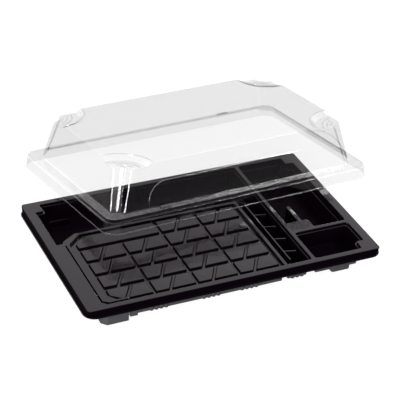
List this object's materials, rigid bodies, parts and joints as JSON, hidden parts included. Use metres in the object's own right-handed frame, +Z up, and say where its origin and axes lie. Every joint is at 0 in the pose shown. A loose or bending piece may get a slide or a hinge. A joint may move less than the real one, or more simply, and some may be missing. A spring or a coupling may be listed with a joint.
{
  "type": "takeaway sushi tray with domed lid",
  "caption": "Empty black formed plastic sushi tray with a raised tiled panel, deep side compartments and small feet, with its clear domed lid leaning on the rim.",
  "frame": {"origin": "centre of the footprint of the tray and the lid together, on the surface that the tray's feet stand on", "axes": "+X along the tray's long side towards its two small compartments, +Y from the tray's front edge towards the lid, +Z up"},
  "size_m": [0.2998, 0.2607, 0.077],
  "materials": {
    "black_plastic": "glossy black formed sheet",
    "clear_plastic": "clear glossy formed sheet"
  },
  "bodies": {
    "root": {"tray": "black_plastic", "lid": "clear_plastic"}
  },
  "joints": []
}
